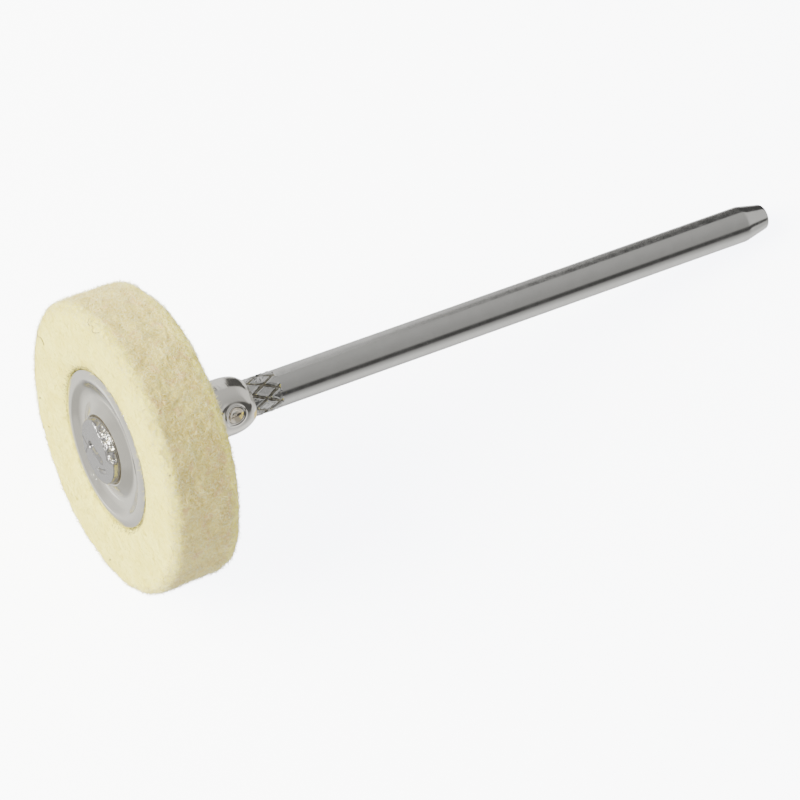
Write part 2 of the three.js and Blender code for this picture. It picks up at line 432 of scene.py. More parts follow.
def nickel_material():
    """Polished nickel plate: turning lines, tiny pits, a slight wave and a painted dark reflection on
    one side of the dish.
    """
    n = Nodes("polished_nickel")
    colour = n.mix(n.noise(1.4, 3.0), (0.71, 0.68, 0.585), (0.77, 0.74, 0.645))
    x, _, z, radius = n.axes()
    # painted reflection: a dark crescent across one side of the dish, standing in for the dark things
    # the metal mirrors there
    along_x = n.math("MULTIPLY", x, DARK_REFLECTION_SIDE[0])
    upper = n.math("ADD", along_x, n.math("MULTIPLY", z, DARK_REFLECTION_SIDE[1]))
    painted_reflection = n.math("MULTIPLY", n.ramp(radius, 4.42, 4.3), n.ramp(radius, 2.8, 4.25, smooth=False))
    painted_reflection = n.math("MULTIPLY", painted_reflection, n.ramp(n.math("DIVIDE", upper, radius), 0.66, 0.88))
    painted_reflection = n.math("MULTIPLY", painted_reflection, n.ramp(n.noise(0.8, 2.0), 0.2, 0.5, 0.6, 1.0))
    colour = n.mix(painted_reflection, colour, (0.26, 0.245, 0.22))
    n.link(colour, n.shader.inputs["Base Color"])
    rings = n.math("SINE", n.math("MULTIPLY", radius, 95.0))
    pits = n.ramp(n.cells(0.32), 0.0, 0.07, 0.0, 1.0)
    wave = n.bump(n.noise(1.6, 1.0), 0.006)
    grain = n.math("ADD", n.math("MULTIPLY", rings, 0.15), n.noise(0.06, 2.0))
    lines = n.bump(grain, 0.0012, below=wave)
    n.link(n.bump(pits, 0.004, below=lines), n.shader.inputs["Normal"])
    n.link(n.ramp(n.noise(0.5, 4.0), 0.3, 0.75, 0.1, 0.2), n.shader.inputs["Roughness"])
    n.set(Metallic=1.0)
    return n.material


def hub_material():
    """Nickel over brass: the plate is worn on the riveted head and at one spot of the neck's end."""
    n = Nodes("nickel_plated_brass")
    x, station, z, radius = n.axes()
    plate = n.mix(n.noise(1.1, 3.0), (0.75, 0.725, 0.66), (0.81, 0.785, 0.72))
    at_front = n.ramp(station, 0.0, -0.25)
    sunken = n.math("MULTIPLY", at_front, n.ramp(station, HEAD_FACE + 0.04, HEAD_FACE + 0.12))
    torn = n.ramp(n.noise(0.26, 4.0, 0.65), 0.46, 0.6)
    at_head = n.math("MULTIPLY", n.math("MULTIPLY", sunken, torn), n.ramp(radius, 2.1, 1.98))
    # the brass spot lies 10 degrees above +X
    aside = n.math("SUBTRACT", n.math("MULTIPLY", x, 0.17), n.math("MULTIPLY", z, 0.985))
    low_side = n.math("MULTIPLY", n.ramp(n.math("ABSOLUTE", aside), 0.34, 0.22), n.ramp(x, 0.0, 0.5))
    at_end = n.math("MULTIPLY", n.ramp(station, 9.28, 9.36), low_side)
    dimple = n.tree.nodes.new("ShaderNodeVectorMath")
    dimple.operation = "DISTANCE"
    dimple.inputs[1].default_value = (
        DIMPLE_FLOOR_RADIUS * math.cos(DIMPLE_ANGLE),
        DIMPLE_STATION,
        DIMPLE_FLOOR_RADIUS * math.sin(DIMPLE_ANGLE),
    )
    n.link(n.place, dimple.inputs[0])
    in_cup = n.ramp(dimple.outputs["Value"], 0.62, 0.45)
    stained = n.math("MULTIPLY", in_cup, n.ramp(n.noise(0.5, 2.0), 0.35, 0.6, 0.25, 1.0))
    plate = n.mix(n.math("MULTIPLY", at_front, 0.9), plate, (0.36, 0.35, 0.335))
    plate = n.mix(n.math("MULTIPLY", stained, 0.7), plate, (0.60, 0.50, 0.34))
    plate = n.mix(n.math("MULTIPLY", at_head, 0.75), plate, (0.66, 0.60, 0.40))
    n.link(n.mix(at_end, plate, (0.80, 0.58, 0.15)), n.shader.inputs["Base Color"])
    wave = n.bump(n.noise(0.7, 2.0), 0.006)
    scuffs = n.math("MULTIPLY", n.noise(0.16, 4.0, 0.6), n.math("MAXIMUM", at_front, in_cup))
    n.link(n.bump(scuffs, 0.014, below=wave), n.shader.inputs["Normal"])
    dull = n.math("MULTIPLY", n.math("SUBTRACT", at_front, sunken), 0.12)
    shine = n.ramp(n.noise(0.35, 4.0), 0.3, 0.75, 0.1, 0.18)
    n.link(n.math("ADD", shine, dull), n.shader.inputs["Roughness"])
    n.set(Metallic=1.0)
    return n.material


def steel_material():
    """Ground steel: fine rings round the shank, small pits and a darker, patchy colour deep in the
    knurl's grooves.
    """
    n = Nodes("ground_steel")
    _, station, _, radius = n.axes()
    colour = n.mix(n.noise(0.9, 4.0), (0.50, 0.495, 0.47), (0.57, 0.565, 0.54))
    # darker and patchy towards the bottom of the knurl's grooves
    in_knurl = n.ramp(station, KNURL_END + 0.4, KNURL_END - 0.1)
    low = n.ramp(radius, SHANK_RADIUS - 0.015, SHANK_RADIUS - 0.06)
    patchy = n.ramp(n.noise(0.15, 3.0), 0.3, 0.6, 0.55, 1.0)
    groove_darkening = n.math("MULTIPLY", in_knurl, n.math("MULTIPLY", low, patchy))
    n.link(n.mix(groove_darkening, colour, (0.20, 0.185, 0.14)), n.shader.inputs["Base Color"])
    ground = n.noise(0.5, 4.0, 0.7, n.stretched((1.0, 18.0, 1.0)))
    grain = n.noise(0.05, 3.0, 0.6)
    pits = n.ramp(n.cells(0.5), 0.0, 0.06)
    first = n.bump(ground, 0.0012)
    second = n.bump(grain, 0.001, below=first)
    n.link(n.bump(pits, 0.006, below=second), n.shader.inputs["Normal"])
    n.link(n.ramp(n.noise(0.6, 4.0), 0.3, 0.75, 0.14, 0.22), n.shader.inputs["Roughness"])
    n.set(Metallic=1.0)
    return n.material


# ---------------------------------------------------------------- felt wheel


def felt_half_outline(edge_round):
    """From the bore out over the front face and round the edge to the rim."""
    pocket = WASHER_SEAT_DEPTH + WASHER_THICKNESS + 0.05
    rim_wall = WASHER_RADIUS + 0.02
    roll = smooth_through(
        [
            (rim_wall + 0.07, 0.06),
            (rim_wall + 0.14, -0.03),
            (rim_wall + 0.35 * FELT_ROLL, FELT_FRONT * 0.5),
            (rim_wall + 0.65 * FELT_ROLL, FELT_FRONT * 0.85),
            (rim_wall + FELT_ROLL, FELT_FRONT),
        ],
        4,
    )
    middle = (FELT_RADIUS - edge_round, FELT_FRONT + edge_round)
    edge = arc(middle, (edge_round, edge_round), -90, 0, 8)
    return [
        (1.93, pocket),
        (2.7, pocket),
        (3.4, pocket),
        (4.5, WASHER_THICKNESS + 0.12),
        (rim_wall, WASHER_THICKNESS + 0.06),
        (rim_wall + 0.06, WASHER_THICKNESS),
        *roll,
        *edge,
    ]


def felt_outline():
    """Both halves, the back one mirrored about the felt's middle."""
    front = felt_half_outline(FELT_EDGE)
    back = reversed(felt_half_outline(FELT_BACK_EDGE))
    return front + [(radius, 2 * FELT_MIDDLE - station) for radius, station in back]


def felt_shape(radius, station, theta):
    """Wool felt is never quite round or flat: slow waves, lumps and a fine nap."""
    visible = smoothstep(WASHER_RADIUS, WASHER_RADIUS + 0.5, radius)
    outer = smoothstep(FELT_RADIUS - 0.8, FELT_RADIUS - 0.1, radius)
    ring = np.stack([np.cos(theta) * 1.0, station * 0.06, np.sin(theta) * 1.0], -1).reshape(-1, 3)
    slow = noise_field(ring, 0.55, 3.0).reshape(radius.shape)
    faster = noise_field(ring, 0.19, 9.0).reshape(radius.shape)
    points = np.stack([radius * np.cos(theta), station, radius * np.sin(theta)], -1).reshape(-1, 3)
    lumps = noise_field(points, 1.3, 1.0).reshape(radius.shape)
    nap = noise_field(points, 0.42, 5.0).reshape(radius.shape)
    fine = noise_field(points, 0.2, 7.0).reshape(radius.shape)
    face_sign = np.where(station < FELT_MIDDLE, -1.0, 1.0)
    on_rim = smoothstep(0.2, 0.9, np.minimum(station - FELT_FRONT, FELT_BACK - station))
    bulk = 0.05 * lumps + (0.015 + 0.035 * on_rim) * nap + (0.01 + 0.022 * on_rim) * fine
    new_radius = radius + outer * (0.11 * slow + 0.06 * faster + bulk - 0.09)
    flat = visible * (1 - on_rim * outer)
    new_station = station + face_sign * flat * (0.05 * slow + 0.6 * bulk)
    return new_radius, new_station


def build_felt():
    outline = dense(felt_outline(), FELT_STEP)
    vertices, faces = revolved(outline, FELT_SEGMENTS, closed=True, shape=felt_shape)
    return make_object("felt_disc", vertices, faces, felt_material(), "felt_wheel")


# ---------------------------------------------------------------- loose fibres


def surface_samples(vertices, faces, count, keep, rng):
    """Random points on the faces that keep says yes to, with their normals."""
    quads = np.array([f for f in faces if len(f) == 4])
    corners = vertices[quads]
    centres = corners.mean(axis=1)
    normals = np.cross(corners[:, 2] - corners[:, 0], corners[:, 3] - corners[:, 1])
    areas = np.linalg.norm(normals, axis=1)
    weights = areas * keep(centres)
    chosen = rng.choice(len(quads), size=count, p=weights / weights.sum())
    u, v = rng.random((2, count, 1))
    c = corners[chosen]
    first_side = (1 - u) * (1 - v) * c[:, 0] + u * (1 - v) * c[:, 1]
    points = first_side + u * v * c[:, 2] + (1 - u) * v * c[:, 3]
    return points, normals[chosen] / areas[chosen][:, None]


def fibre_mesh(roots, normals, rng, length, lift, thickness, curl):
    """Thin tapered spindles, three-sided, each bent along its own arc over the surface."""
    count = len(roots)
    helper = rng.normal(size=(count, 3))
    along = np.cross(normals, helper)
    along /= np.linalg.norm(along, axis=1)[:, None]
    across = np.cross(normals, along)
    span = rng.uniform(*length, size=(count, 1))
    rise = rng.uniform(*lift, size=(count, 1))
    bend = rng.normal(0, curl, size=(count, 1))
    hump = rng.uniform(-0.2, 0.3, size=(count, 1))
    thick = rng.uniform(*thickness, size=(count, 1))
    stations = (0.0, 0.3, 0.65, 1.0)
    sizes = (0.0, 1.0, 0.8, 0.0)
    rings = []
    for t, size in zip(stations, sizes):
        centre = (
            roots - normals * 0.02
            + along * span * t
            + across * span * bend * t * t
            + normals * span * (rise * t + hump * t * (1 - t))
        )
        if size == 0:
            rings.append(centre[:, None])
            continue
        corner = []
        for k in range(3):
            a = 2 * math.pi * k / 3
            corner.append(centre + thick * size * (math.cos(a) * across + math.sin(a) * normals))
        rings.append(np.stack(corner, axis=1))
    block = np.concatenate(rings, axis=1)
    pattern = [(0, 2, 1), (0, 3, 2), (0, 1, 3)]
    for k in range(3):
        following = (k + 1) % 3
        pattern.append((1 + k, 1 + following, 4 + following, 4 + k))
        pattern.append((4 + k, 4 + following, 7))
    faces = []
    for start in range(0, count * 8, 8):
        faces.extend(tuple(start + index for index in face) for face in pattern)
    return block.reshape(-1, 3), faces


def build_fibres(felt_vertices, felt_faces):
    rng = np.random.default_rng(SEED)
    rim_wool = fibre_material("rim_wool_fibre", (0.88, 0.80, 0.42), (0.98, 0.95, 0.68))
    face_wool = fibre_material("face_wool_fibre", (0.84, 0.76, 0.21), (0.96, 0.92, 0.35))

    def on_rim(centres):
        radius = np.hypot(centres[:, 0], centres[:, 2])
        return smoothstep(FELT_RADIUS - 0.75, FELT_RADIUS - 0.45, radius)

    def on_face(front):
        def keep(centres):
            radius = np.hypot(centres[:, 0], centres[:, 2])
            station = centres[:, 1] - RIM_Y
            side = station < FELT_MIDDLE if front else station > FELT_MIDDLE
            return side * (radius > WASHER_RADIUS + 0.02) * (radius < FELT_RADIUS - 0.2)

        return keep

    sets = [
        ("rim_fibres_lying", rim_wool, on_rim, (0.2, 0.45), (0.0, 0.25), (0.009, 0.014), 0.4),
        ("rim_fibres_upright", rim_wool, on_rim, (0.1, 0.22), (0.4, 1.5), (0.009, 0.015), 0.4),
        ("front_fibres", face_wool, on_face(True), (0.2, 0.5), (0.0, 0.14), (0.008, 0.014), 0.5),
        ("back_fibres", face_wool, on_face(False), (0.2, 0.5), (0.0, 0.14), (0.008, 0.014), 0.5),
    ]
    for name, wool, keep, length, lift, thickness, curl in sets:
        roots, normals = surface_samples(felt_vertices, felt_faces, FIBRES_PER_PIECE, keep, rng)
        vertices, faces = fibre_mesh(roots, normals, rng, length, lift, thickness, curl)
        make_object(name, vertices, faces, wool)


def build_edge_shade_fibres(felt_vertices, felt_faces, material):
    """Dark fibres along the washer's edge, placed as painted shade for the crevice, thickest towards the
    eye, on the side of the worn shoulder.
    """
    rng = np.random.default_rng(SEED + 1)

    def at_washer(centres):
        radius = np.hypot(centres[:, 0], centres[:, 2])
        near = centres[:, 0] * NEAR[0] + centres[:, 2] * NEAR[1]
        front = centres[:, 1] < RIM_Y
        return front * (radius > SHADE_FIBRE_INNER) * (radius < SHADE_FIBRE_OUTER) * smoothstep(-5.5, 1.0, near)

    roots, normals = surface_samples(felt_vertices, felt_faces, SHADE_FIBRE_COUNT, at_washer, rng)
    vertices, faces = fibre_mesh(roots, normals, rng, (0.08, 0.2), (0.0, 0.45), (0.012, 0.02), 0.5)
    make_object("washer_edge_shade_fibres", vertices, faces, material)


def build_stray_hairs(felt_vertices, material):
    """A few dark hairs and specks of fluff caught on the front face, as (x, z) paths."""
    front = felt_vertices[felt_vertices[:, 1] < RIM_Y + FELT_MIDDLE]
    paths = [
        [(-8.8, 1.3), (-8.5, 1.02), (-8.1, 1.25), (-7.7, 1.05)],
        [(-3.8, 8.3), (-3.5, 8.05), (-3.08, 8.3), (-2.8, 8.1), (-2.3, 8.6)],
        [(-7.36, -3.72), (-7.22, -3.62)],
        [(2.83, -7.55), (2.97, -7.45)],
        [(6.75, 5.9), (6.87, 6.0)],
        [(-5.9, -4.9), (-5.84, -4.8)],
    ]
    vertices, faces = [], []
    sides = HAIR_SIDES
    for path in paths:
        thickness = HAIR_RADIUS if len(path) > 2 else SPECK_RADIUS
        smooth = smooth_through(path, 6) if len(path) > 2 else dense(path, 0.06)
        count = len(smooth)
        start = len(vertices)
        for k, (x, z) in enumerate(smooth):
            away = np.hypot(front[:, 0] - x, front[:, 2] - z)
            height = front[np.argmin(away), 1] - 0.03
            before, after = smooth[max(k - 1, 0)], smooth[min(k + 1, count - 1)]
            along = np.subtract(after, before)
            along = along / np.linalg.norm(along)
            size = thickness * (0.25 if k in (0, count - 1) else 1.0)
            for side in range(sides):
                a = 2 * math.pi * side / sides
                aside = size * math.cos(a)
                spot = (x - along[1] * aside, height + size * math.sin(a), z + along[0] * aside)
                vertices.append(spot)
        for k in range(count - 1):
            for side in range(sides):
                following = (side + 1) % sides
                here = start + k * sides
                there = here + sides
                faces.append((here + side, there + side, there + following, here + following))
        faces.append(tuple(range(start, start + sides)))
        last = start + (count - 1) * sides
        faces.append(tuple(range(last + sides - 1, last - 1, -1)))
    make_object("stray_hairs", vertices, faces, material)


# ---------------------------------------------------------------- washers


def washer_face():
    """The front of the section: a crest near the rim, the dish, and up again to the lip."""
    middle = (WASHER_CREST_RADIUS + WASHER_DISH_RADIUS) / 2
    inner = (WASHER_DISH_RADIUS + WASHER_LIP_RADIUS) / 2
    return smooth_through(
        [
            (WASHER_RADIUS - 0.03, 0.0),
            (WASHER_CREST_RADIUS, -WASHER_CREST_RISE),
            (middle, WASHER_DISH_DEPTH * 0.6),
            (WASHER_DISH_RADIUS, WASHER_DISH_DEPTH),
            (inner, WASHER_DISH_DEPTH * 0.45),
            (WASHER_LIP_RADIUS, -WASHER_LIP_RISE),
        ],
        10,
    )


def washer_outline():
    face = washer_face()
    back = [(radius, station + WASHER_THICKNESS) for radius, station in face[:-4]]
    seat_back = WASHER_SEAT_DEPTH + WASHER_THICKNESS
    return [
        (WASHER_RADIUS, WASHER_THICKNESS - 0.03),
        (WASHER_RADIUS, 0.03),
        *face,
        (WASHER_LIP_RADIUS - 0.06, -WASHER_LIP_RISE + 0.01),
        (WASHER_SEAT_RADIUS, -WASHER_LIP_RISE + 0.09),
        (WASHER_SEAT_RADIUS, WASHER_SEAT_DEPTH),
        (WASHER_HOLE_RADIUS, WASHER_SEAT_DEPTH),
        (WASHER_HOLE_RADIUS, seat_back),
        (WASHER_LIP_RADIUS + 0.3, seat_back),
        *reversed(back),
        (WASHER_RADIUS, WASHER_THICKNESS - 0.03),
    ]


def build_washer(name, node, material, turned_round):
    # the outline runs inwards over the face, so it is reversed to keep the metal on its left
    vertices, faces = revolved(washer_outline()[::-1], WASHER_SEGMENTS, closed=True)
    if turned_round:
        vertices = vertices * np.array([-1.0, -1.0, 1.0])
        vertices[:, 1] += 2 * (RIM_Y + FELT_MIDDLE)
    make_object(name, vertices, faces, material, node)


# ---------------------------------------------------------------- hub sleeve


def hub_outline():
    """The head's half of the outline, and the rest from behind the head to the closed end."""
    neck = bezier((HEAD_RADIUS, SHOULDER_END), (NECK_RADIUS, 6.6), (NECK_RADIUS, NOSE_START), 12)
    end_angle = math.degrees(math.asin((HUB_END - NOSE_START) / NOSE_REACH))
    nose = arc((NECK_RADIUS - NOSE_DROP, NOSE_START), (NOSE_DROP, NOSE_REACH), 0, end_angle, 16)
    head_back = WASHER_SEAT_DEPTH - 0.03
    shoulder = 2 * FELT_MIDDLE - head_back
    head = eased(
        [
            (0, HEAD_FACE),
            (HEAD_PLATEAU, HEAD_FACE),
            (HEAD_RADIUS, HEAD_FACE + 0.3),
            (HEAD_RADIUS, head_back),
            (BODY_RADIUS, head_back),
        ],
        HEAD_EDGE,
    )
    body = [(BODY_RADIUS, shoulder), (HEAD_RADIUS, shoulder)]
    tail = eased([nose[-1], (HUB_BORE, HUB_END + 0.02), (HUB_BORE, HUB_END - 0.5)], 0.03)
    return head, body + neck + nose[1:-1] + tail + [(1.1, HUB_END - 0.6), (0, HUB_END - 0.6)]


def dimple_distance(station, theta, angle):
    """Distance over the neck's surface from the middle of the crimp at that angle."""
    around = (theta - angle + math.pi) % (2 * math.pi) - math.pi
    distance = np.hypot(NECK_RADIUS * np.sin(around), station - DIMPLE_STATION)
    return np.where(np.abs(around) < math.pi / 2, distance, 9.0)


def dimple_push(radius, station, theta):
    """How far the crimps push the neck in: a rough cup, its raised lip and a soft hollow round it."""
    points = np.stack([radius * np.cos(theta), station, radius * np.sin(theta)], -1).reshape(-1, 3)
    rough = noise_field(points, 0.3, 4.0).reshape(radius.shape)
    push = np.zeros_like(radius)
    for angle in (DIMPLE_ANGLE, DIMPLE_ANGLE + math.pi):
        distance = dimple_distance(station, theta, angle)
        cup = np.clip(1 - (distance / DIMPLE_RADIUS) ** 2, 0, 1)
        lip = np.exp(-(((distance - DIMPLE_RADIUS - 0.03) / 0.06) ** 2))
        hollow = np.exp(-((np.maximum(distance - DIMPLE_RADIUS, 0) / 0.35) ** 2)) * (distance < 2)
        pip = np.exp(-((distance / 0.09) ** 2))
        push += DIMPLE_DEPTH * cup ** 0.9 + 0.03 * rough * np.minimum(2 * cup, 1)
        push += 0.14 * hollow * (1 - np.minimum(3 * cup, 1)) - 0.04 * lip - 0.07 * pip
    return push


def line_mark(x, z, start, end, width):
    """1 along the middle of a straight mark, falling to 0 at its edge."""
    span = np.subtract(end, start)
    t = np.clip(((x - start[0]) * span[0] + (z - start[1]) * span[1]) / (span @ span), 0, 1)
    away = np.hypot(x - start[0] - t * span[0], z - start[1] - t * span[1])
    return smoothstep(width, 0.35 * width, away)


def head_wear(x, z):
    """How deep the riveting marked the head: a slot, a crescent, scratches and a torn shoulder."""
    near = x * NEAR[0] + z * NEAR[1]
    down = x * DOWN[0] + z * DOWN[1]
    depth = 0.2 * line_mark(x, z, (-0.81, -0.37), (0.47, -0.27), 0.33)
    bend = np.degrees(np.arctan2(down, near))
    arc_width = 0.2 * smoothstep(142, 118, bend) * smoothstep(70, 88, bend)
    from_arc = np.abs(np.hypot(near, down) - 1.27)
    crescent = smoothstep(1.0, 0.3, from_arc / np.maximum(arc_width, 1e-3))
    depth += 0.09 * crescent * (arc_width > 0.01)
    depth += 0.035 * line_mark(x, z, (-1.75, -0.65), (-1.05, -0.75), 0.09)
    depth += 0.03 * line_mark(x, z, (-1.05, -0.75), (-1.15, -1.45), 0.08)
    edge_down, edge_near = zip(*HEAD_WEAR_EDGE)
    edge = np.interp(down, edge_down, edge_near)
    points = np.stack([x, z, 0 * x], -1).reshape(-1, 3)
    torn = noise_field(points, 0.3, 6.0).reshape(x.shape)
    chips = noise_field(points, 0.11, 8.0).reshape(x.shape)
    inside = near - edge + 0.06 * torn
    steps = 0.05 * smoothstep(0, 0.08, inside) + 0.1 * smoothstep(0.25, 0.42, inside)
    steps += 0.26 * smoothstep(1.6, 1.98, np.hypot(x, z)) * smoothstep(0, 0.2, inside)
    return depth + steps + (0.05 * torn + 0.035 * chips) * smoothstep(0.02, 0.2, inside)


def hub_shape(radius, station, theta):
    """The crimps, the facets of the closed-in nose, its uneven end and the worn head."""
    neck = station > 5.0
    push = np.where(neck, dimple_push(radius, station, theta), 0)
    radius = radius - np.minimum(push, np.maximum(radius - 1.3, 0))
    facets = 0.035 * (1 - np.abs(np.cos(4.5 * theta + 0.4))) * smoothstep(8.7, 9.5, station)
    radius = radius - np.where(radius > HUB_BORE + 0.03, facets, 0)
    short = smoothstep(9.0, HUB_END, station) * (station > 9.0) * (radius > HUB_BORE - 0.01)
    station = station - short * (0.1 + 0.1 * np.cos(theta - math.radians(100)))
    on_head = station < HEAD_FACE + 0.28
    wear = head_wear(radius * np.cos(theta), radius * np.sin(theta))
    fade = smoothstep(HEAD_FACE + 0.28, HEAD_FACE + 0.1, station)
    station = station + np.where(on_head, wear * fade, 0)
    return radius, station


def build_hub(material):
    head, rest = hub_outline()
    near = [p for p in rest if p[1] < 6.9]
    far = [p for p in rest if p[1] >= 6.9]
    tail = dense([near[-1], *far], HUB_NECK_STEP)[1:]
    outline = dense(head, HUB_HEAD_STEP) + dense(near, 0.5) + tail
    vertices, faces = revolved(outline, HUB_SEGMENTS, shape=hub_shape)
    make_object("hub_sleeve_riveted", vertices, faces, material, "hub_sleeve")


# ---------------------------------------------------------------- mandrel


def knurl_cut(station, theta, points):
    """Depth of the crossed knurl's grooves, less the burrs thrown up beside them."""
    pitch = 2 * math.pi * SHANK_RADIUS / KNURL_STARTS
    shape = station.shape
    wander = 0.03 * noise_field(points, 0.5, 2.0).reshape(shape)
    rough = noise_field(points, 0.14, 3.0).reshape(shape)
    fine = noise_field(points, 0.06, 5.0).reshape(shape)
    around = (theta - KNURL_NODE_ANGLE) * SHANK_RADIUS
    along = (station - KNURL_NODE) * math.tan(KNURL_ANGLE)
    depth = np.zeros_like(station)
    burr = np.zeros_like(station)
    for direction in (1, -1):
        phase = (around + direction * along) / pitch
        away = np.abs(phase - np.round(phase)) * pitch * math.cos(KNURL_ANGLE) + direction * wander
        depth = np.maximum(depth, smoothstep(KNURL_GROOVE, 0.25 * KNURL_GROOVE, away))
        burr = np.maximum(burr, np.exp(-(((away - KNURL_GROOVE - 0.035) / 0.035) ** 2)))
    burr = burr * (depth < 0.05) * (0.03 + 0.035 * rough)
    return KNURL_DEPTH * depth * (1 + 0.35 * rough) - burr + 0.008 * fine + 0.008 * rough


def mandrel_shape(radius, station, theta):
    """The knurl, which runs out unevenly where the plain shank begins."""
    knurled = (station > 9.0) & (station < KNURL_END + 0.6)
    depth = np.zeros_like(radius)
    rows = np.where(knurled.any(axis=1))[0]
    part = slice(rows[0], rows[-1] + 1)
    s, t = station[part], theta[part]
    points = np.stack([SHANK_RADIUS * np.cos(t), s, SHANK_RADIUS * np.sin(t)], -1).reshape(-1, 3)
    ragged = 0.1 * noise_field(points, 0.4, 7.0).reshape(s.shape)
    fade = smoothstep(KNURL_END + 0.1, KNURL_END - 0.06, s + ragged)
    depth[part] = fade * knurl_cut(s, t, points)
    return radius - depth * knurled, station


def build_mandrel(material):
    bevel = eased(
        [
            (SHANK_RADIUS, SHANK_END - 6.0),
            (SHANK_RADIUS, SHANK_END - BEVEL_LENGTH),
            (BEVEL_END_RADIUS, SHANK_END),
            (0, SHANK_END),
        ],
        0.16,
        8,
    )
    fine_end = KNURL_END + 0.65
    front = [(0, 8.8), (1.1, 8.8), (1.15, 9.2)]
    knurled = dense([(SHANK_RADIUS, 9.3), (SHANK_RADIUS, fine_end)], MANDREL_FINE_STEP)
    plain = dense([(SHANK_RADIUS, fine_end), bevel[0]], 2.0)[1:]
    outline = front + knurled + plain + dense(bevel, 0.12)[1:]
    vertices, faces = revolved(outline, MANDREL_SEGMENTS, shape=mandrel_shape)
    make_object("mandrel_shank", vertices, faces, material, "mandrel")


# ---------------------------------------------------------------- stage

# The floor touches the felt's back edge and the shank's end, as when the tool lies down.
FLOOR_TILT = math.atan2(FELT_RADIUS - SHANK_RADIUS, SHANK_END - BEVEL_LENGTH - FELT_BACK)
CAMERA_AZIMUTH = math.radians(60.45)
CAMERA_ELEVATION = math.radians(57.67)
CAMERA_DISTANCE = 232.3
CAMERA_LENS = 170.0
CAMERA_TARGET = Vector((2.75, -28.69, -1.64))

LIGHT_DISTANCE_M = 0.6
SOFTBOX_SIZE_M = 0.5
LAMP_SIZE_M = 0.16
KEY_DIRECTION = (-0.25, -0.85, 0.45)
KEY_POWER = 15.5
KEY_COLOUR = (1.0, 0.95, 0.52)
FILL_DIRECTION = (0.85, -0.25, -0.45)
FILL_POWER = 4.3
FILL_COLOUR = (1.0, 0.96, 0.85)
BACK_DIRECTION = (-0.35, 0.85, -0.2)
BACK_POWER = 9.0
BACK_COLOUR = (1.0, 0.95, 0.75)
LAMP_DIRECTION = (-0.12, -0.93, 0.33)
LAMP_POWER = 3.0

# brightness of what polished metal sees in each part of the studio
CARD_LEVEL = 1.15
FLOOR_LEVEL = 1.4
UNDER_LEVEL = 0.75
FRONT_LEVEL = 0.88
SHADE_LEVEL = 0.3
ASIDE_LEVEL = 0.7
STRIP_LEVEL = 3.5
BACK_LEVEL = 1.0
GAP_LEVEL = 0.1
# square to the bright strip, which crosses the front from side to side
STRIP_ACROSS = (0.704, 0.186, -0.686)

FLOOR_GLOW = 8.0
FLOOR_GAP = 0.12
COVE_FLAT = 400.0
COVE_BEND = 200.0
COVE_SEGMENTS = 64


def floor_turn():
    return Matrix.Rotation(FLOOR_TILT, 3, "X")


def from_floor(azimuth, elevation):
    """A direction in the row frame, its angles measured from the floor. Azimuth 0 is -Y."""
    flat = Vector(
        (
            math.sin(azimuth) * math.cos(elevation),
            -math.cos(azimuth) * math.cos(elevation),
            math.sin(elevation),
        )
    )
    return floor_turn() @ flat


def aimed(direction, up):
    """A rotation whose local +Z points along direction and whose +Y leans towards up."""
    z = direction.normalized()
    x = up.cross(z).normalized()
    y = z.cross(x)
    return Matrix((x, y, z)).transposed()


def make_camera():
    data = bpy.data.cameras.new("camera")
    data.lens = CAMERA_LENS
    data.sensor_width = 36.0
    data.clip_start = 0.01
    data.clip_end = 20.0
    camera = bpy.data.objects.new("camera", data)
    bpy.context.scene.collection.objects.link(camera)
    away = from_floor(CAMERA_AZIMUTH, CAMERA_ELEVATION)
    up = floor_turn() @ Vector((0, 0, 1))
    turn = aimed(away, up).to_4x4()
    place = Matrix.Translation((CAMERA_TARGET + away * CAMERA_DISTANCE) * MM)
    camera.matrix_world = place @ turn
    bpy.context.scene.camera = camera


def make_floor():
    """A pale floor that curves up into walls all round. It glows, and the object doesn't see it."""
    turn = floor_turn()
    contact = Vector((0, RIM_Y + FELT_BACK, -FELT_RADIUS - FLOOR_GAP))
    bend = arc((COVE_FLAT, COVE_BEND), (COVE_BEND, COVE_BEND), -90, 0, 17)
    wall = COVE_FLAT + COVE_BEND
    outline = [(0.0, 0.0), *bend, (wall, wall)]
    count = COVE_SEGMENTS
    vertices, faces = [], []
    for radius, height in outline[1:]:
        for k in range(count):
            a = 2 * math.pi * k / count
            spot = Vector((radius * math.cos(a), radius * math.sin(a), height))
            vertices.append((contact + turn @ spot) * MM)
    vertices.append(contact * MM)
    for row in range(len(outline) - 2):
        for k in range(count):
            following = (k + 1) % count
            here, there = row * count, (row + 1) * count
            faces.append((here + k, here + following, there + following, there + k))
    faces.extend((len(vertices) - 1, k, (k + 1) % count) for k in range(count))
    mesh = bpy.data.meshes.new("floor")
    mesh.from_pydata(vertices, [], faces)
    mesh.shade_smooth()
    n = Nodes("pale_floor")
    colour = n.mix(n.noise(60.0, 2.0), (0.84, 0.84, 0.86), (0.87, 0.87, 0.89))
    n.link(colour, n.shader.inputs["Base Color"])
    n.set(Roughness=0.9, Specular_IOR_Level=0.1, Emission_Strength=FLOOR_GLOW)
    n.shader.inputs["Emission Color"].default_value = (0.89, 0.915, 1.0, 1.0)
    mesh.materials.append(n.material)
    floor = bpy.data.objects.new("floor", mesh)
    bpy.context.scene.collection.objects.link(floor)
    floor.visible_glossy = False
    floor.visible_diffuse = False
    floor.visible_shadow = False


